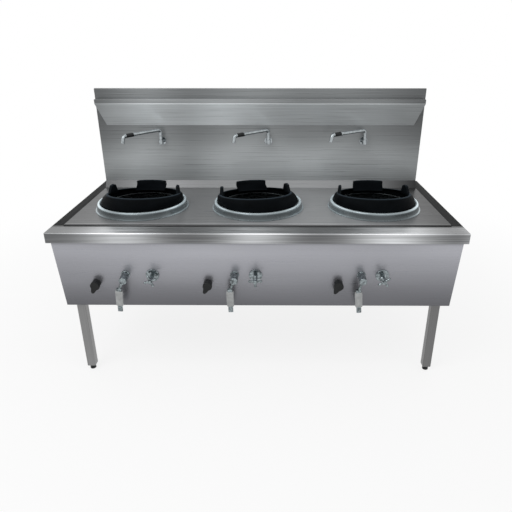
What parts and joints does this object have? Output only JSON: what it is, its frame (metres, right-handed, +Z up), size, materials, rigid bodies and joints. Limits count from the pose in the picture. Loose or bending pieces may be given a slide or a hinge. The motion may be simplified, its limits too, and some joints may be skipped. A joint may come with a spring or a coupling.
{
  "type": "wok range",
  "caption": "Free-standing gas wok range in stainless steel with cast wok rings, splashback, pipe shelf, swivel spouts, levers, knobs and taps.",
  "frame": {"origin": "on the floor, under the middle of the range's box", "axes": "+X to the cook's right along the range, -Y towards the cook, +Z up"},
  "size_m": [1.8, 0.8782, 1.277],
  "materials": {
    "brushed_stainless": "brushed",
    "satin_stainless": "satin",
    "polished_stainless": "polished",
    "cast_iron": "as cast, black",
    "bright_chrome": "bright",
    "brass": "machined",
    "steel_pipe": "grey paint",
    "copper_tube": "drawn copper",
    "black_plastic": "moulded, black",
    "pale_plastic": "moulded, pale grey"
  },
  "bodies": {
    "root": {"front_rim": "brushed_stainless", "left_rim": "brushed_stainless", "right_rim": "brushed_stainless", "deck_plate": "satin_stainless", "splash_panel": "brushed_stainless", "pipe_shelf": "brushed_stainless", "splash_box": "satin_stainless", "front_panel": "satin_stainless", "left_side_panel": "satin_stainless", "right_side_panel": "satin_stainless", "rear_panel": "satin_stainless", "panel_screws": "bright_chrome", "rails": "satin_stainless", "base_pan": "satin_stainless", "burner_heads": "cast_iron", "gas_manifold": "steel_pipe", "lever_valves": "brass", "pilot_valves": "brass", "burner_feeds": "steel_pipe", "pilot_tubes": "copper_tube", "water_header": "copper_tube", "tap_valves": "brass", "water_risers": "copper_tube", "control_flanges": "bright_chrome", "front_left_leg": "satin_stainless", "front_right_leg": "satin_stainless", "rear_left_leg": "satin_stainless", "rear_right_leg": "satin_stainless", "left_collar": "polished_stainless", "left_chamber": "cast_iron", "middle_collar": "polished_stainless", "middle_chamber": "cast_iron", "right_collar": "polished_stainless", "right_chamber": "cast_iron", "spout_elbows": "bright_chrome"},
    "left_wok_ring": {"left_wok_ring": "cast_iron"},
    "left_spout": {"left_spout": "bright_chrome", "left_spout_grip": "black_plastic"},
    "left_pilot_knob": {"left_pilot_knob": "black_plastic"},
    "left_gas_lever": {"left_gas_lever": "bright_chrome", "left_lever_sleeve": "pale_plastic"},
    "left_tap_handle": {"left_tap_handle": "bright_chrome"},
    "middle_wok_ring": {"middle_wok_ring": "cast_iron"},
    "middle_spout": {"middle_spout": "bright_chrome", "middle_spout_grip": "black_plastic"},
    "middle_pilot_knob": {"middle_pilot_knob": "black_plastic"},
    "middle_gas_lever": {"middle_gas_lever": "bright_chrome", "middle_lever_sleeve": "pale_plastic"},
    "middle_tap_handle": {"middle_tap_handle": "bright_chrome"},
    "right_wok_ring": {"right_wok_ring": "cast_iron"},
    "right_spout": {"right_spout": "bright_chrome", "right_spout_grip": "black_plastic"},
    "right_pilot_knob": {"right_pilot_knob": "black_plastic"},
    "right_gas_lever": {"right_gas_lever": "bright_chrome", "right_lever_sleeve": "pale_plastic"},
    "right_tap_handle": {"right_tap_handle": "bright_chrome"},
    "front_left_foot": {"front_left_foot": "black_plastic"},
    "front_right_foot": {"front_right_foot": "black_plastic"},
    "rear_left_foot": {"rear_left_foot": "black_plastic"},
    "rear_right_foot": {"rear_right_foot": "black_plastic"}
  },
  "joints": [
    {"name": "left_wok_ring_lift", "type": "slide", "parent": "root", "child": "left_wok_ring", "axis": [0, 0, 1], "range_m": [0, 0.12]},
    {"name": "left_spout_swivel", "type": "hinge", "parent": "root", "child": "left_spout", "pos_m": [-0.52001, 0.26407, 1.024], "axis": [0, 0, 1], "range_deg": [-42, 134]},
    {"name": "left_pilot_knob_turn", "type": "hinge", "parent": "root", "child": "left_pilot_knob", "pos_m": [-0.72201, -0.37097, 0.50559], "axis": [0, -0.9909, -0.1344], "range_deg": [0, 90]},
    {"name": "left_gas_lever_turn", "type": "hinge", "parent": "root", "child": "left_gas_lever", "pos_m": [-0.58601, -0.37675, 0.5482], "axis": [0, -0.9909, -0.1344], "range_deg": [-90, 0]},
    {"name": "left_tap_handle_turn", "type": "hinge", "parent": "root", "child": "left_tap_handle", "pos_m": [-0.46601, -0.37661, 0.54721], "axis": [0, -0.9909, -0.1344], "range_deg": [0, 450]},
    {"name": "middle_wok_ring_lift", "type": "slide", "parent": "root", "child": "middle_wok_ring", "axis": [0, 0, 1], "range_m": [0, 0.12]},
    {"name": "middle_spout_swivel", "type": "hinge", "parent": "root", "child": "middle_spout", "pos_m": [0.043, 0.26407, 1.024], "axis": [0, 0, 1], "range_deg": [-36, 140]},
    {"name": "middle_pilot_knob_turn", "type": "hinge", "parent": "root", "child": "middle_pilot_knob", "pos_m": [-0.222, -0.37097, 0.50559], "axis": [0, -0.9909, -0.1344], "range_deg": [0, 90]},
    {"name": "middle_gas_lever_turn", "type": "hinge", "parent": "root", "child": "middle_gas_lever", "pos_m": [-0.101, -0.37675, 0.5482], "axis": [0, -0.9909, -0.1344], "range_deg": [-90, 0]},
    {"name": "middle_tap_handle_turn", "type": "hinge", "parent": "root", "child": "middle_tap_handle", "pos_m": [-0.008, -0.37661, 0.54721], "axis": [0, -0.9909, -0.1344], "range_deg": [0, 450]},
    {"name": "right_wok_ring_lift", "type": "slide", "parent": "root", "child": "right_wok_ring", "axis": [0, 0, 1], "range_m": [0, 0.12]},
    {"name": "right_spout_swivel", "type": "hinge", "parent": "root", "child": "right_spout", "pos_m": [0.54701, 0.26407, 1.024], "axis": [0, 0, 1], "range_deg": [-28, 148]},
    {"name": "right_pilot_knob_turn", "type": "hinge", "parent": "root", "child": "right_pilot_knob", "pos_m": [0.36201, -0.37097, 0.50559], "axis": [0, -0.9909, -0.1344], "range_deg": [0, 90]},
    {"name": "right_gas_lever_turn", "type": "hinge", "parent": "root", "child": "right_gas_lever", "pos_m": [0.46101, -0.37675, 0.5482], "axis": [0, -0.9909, -0.1344], "range_deg": [-90, 0]},
    {"name": "right_tap_handle_turn", "type": "hinge", "parent": "root", "child": "right_tap_handle", "pos_m": [0.55401, -0.37661, 0.54721], "axis": [0, -0.9909, -0.1344], "range_deg": [0, 450]},
    {"name": "front_left_foot_adjust", "type": "slide", "parent": "root", "child": "front_left_foot", "axis": [0, 0, -1], "range_m": [0, 0.025]},
    {"name": "front_right_foot_adjust", "type": "slide", "parent": "root", "child": "front_right_foot", "axis": [0, 0, -1], "range_m": [0, 0.025]},
    {"name": "rear_left_foot_adjust", "type": "slide", "parent": "root", "child": "rear_left_foot", "axis": [0, 0, -1], "range_m": [0, 0.025]},
    {"name": "rear_right_foot_adjust", "type": "slide", "parent": "root", "child": "rear_right_foot", "axis": [0, 0, -1], "range_m": [0, 0.025]}
  ]
}
